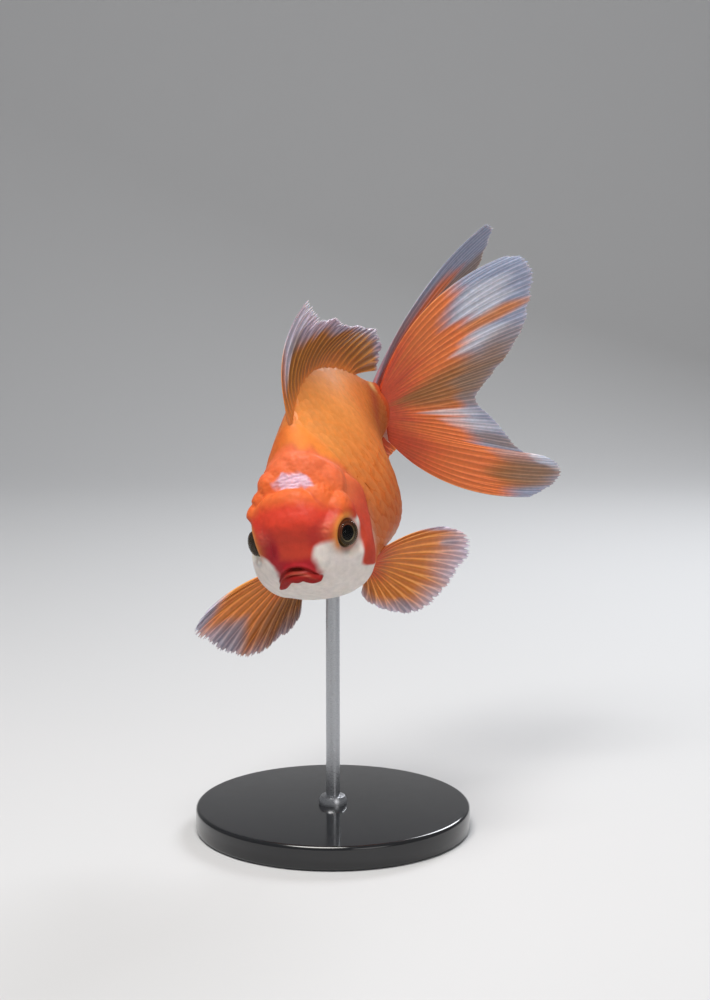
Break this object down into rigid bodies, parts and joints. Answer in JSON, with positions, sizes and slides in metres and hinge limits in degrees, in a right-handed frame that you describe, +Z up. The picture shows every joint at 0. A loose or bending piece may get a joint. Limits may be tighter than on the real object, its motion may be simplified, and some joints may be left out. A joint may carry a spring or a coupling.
{
  "type": "oranda goldfish on a display stand",
  "caption": "Fancy goldfish with a fleshy hood on its head and a forked double tail, modelled life-size in a nose-down swimming turn and held up by a rod on a round flat base",
  "frame": {"origin": "centre of the stand's underside, on the floor", "axes": "+Z up; the fish faces -Y and a little to -X with its nose low, and its tail swings back to +Y and +X, which is the fish's left"},
  "size_m": [0.1366, 0.1583, 0.2153],
  "materials": {
    "skin": "wet, scaly skin, orange with a red hood and white cheeks",
    "fin": "thin ribbed fin, orange at the root and milky blue-white at the rim",
    "eye": "wet, domed eye with a dull gold iris",
    "base": "polished dark acrylic",
    "rod": "brushed"
  },
  "bodies": {
    "root": {"head": "skin", "hood": "skin", "upper_lip": "skin", "lower_lip": "skin", "gill_cover_left": "skin", "gill_cover_right": "skin", "trunk": "skin", "tail_stalk": "skin", "dorsal_fin": "fin", "pectoral_fin_left": "fin", "pectoral_fin_right": "fin", "pelvic_fin_left": "fin", "pelvic_fin_right": "fin", "anal_fin_left": "fin", "anal_fin_right": "fin", "tail_upper_lobe_left": "fin", "tail_lower_lobe_left": "fin", "tail_upper_lobe_right": "fin", "tail_lower_lobe_right": "fin", "eye_left": "eye", "eye_right": "eye", "stand_base": "base", "stand_rod": "rod"}
  },
  "joints": []
}
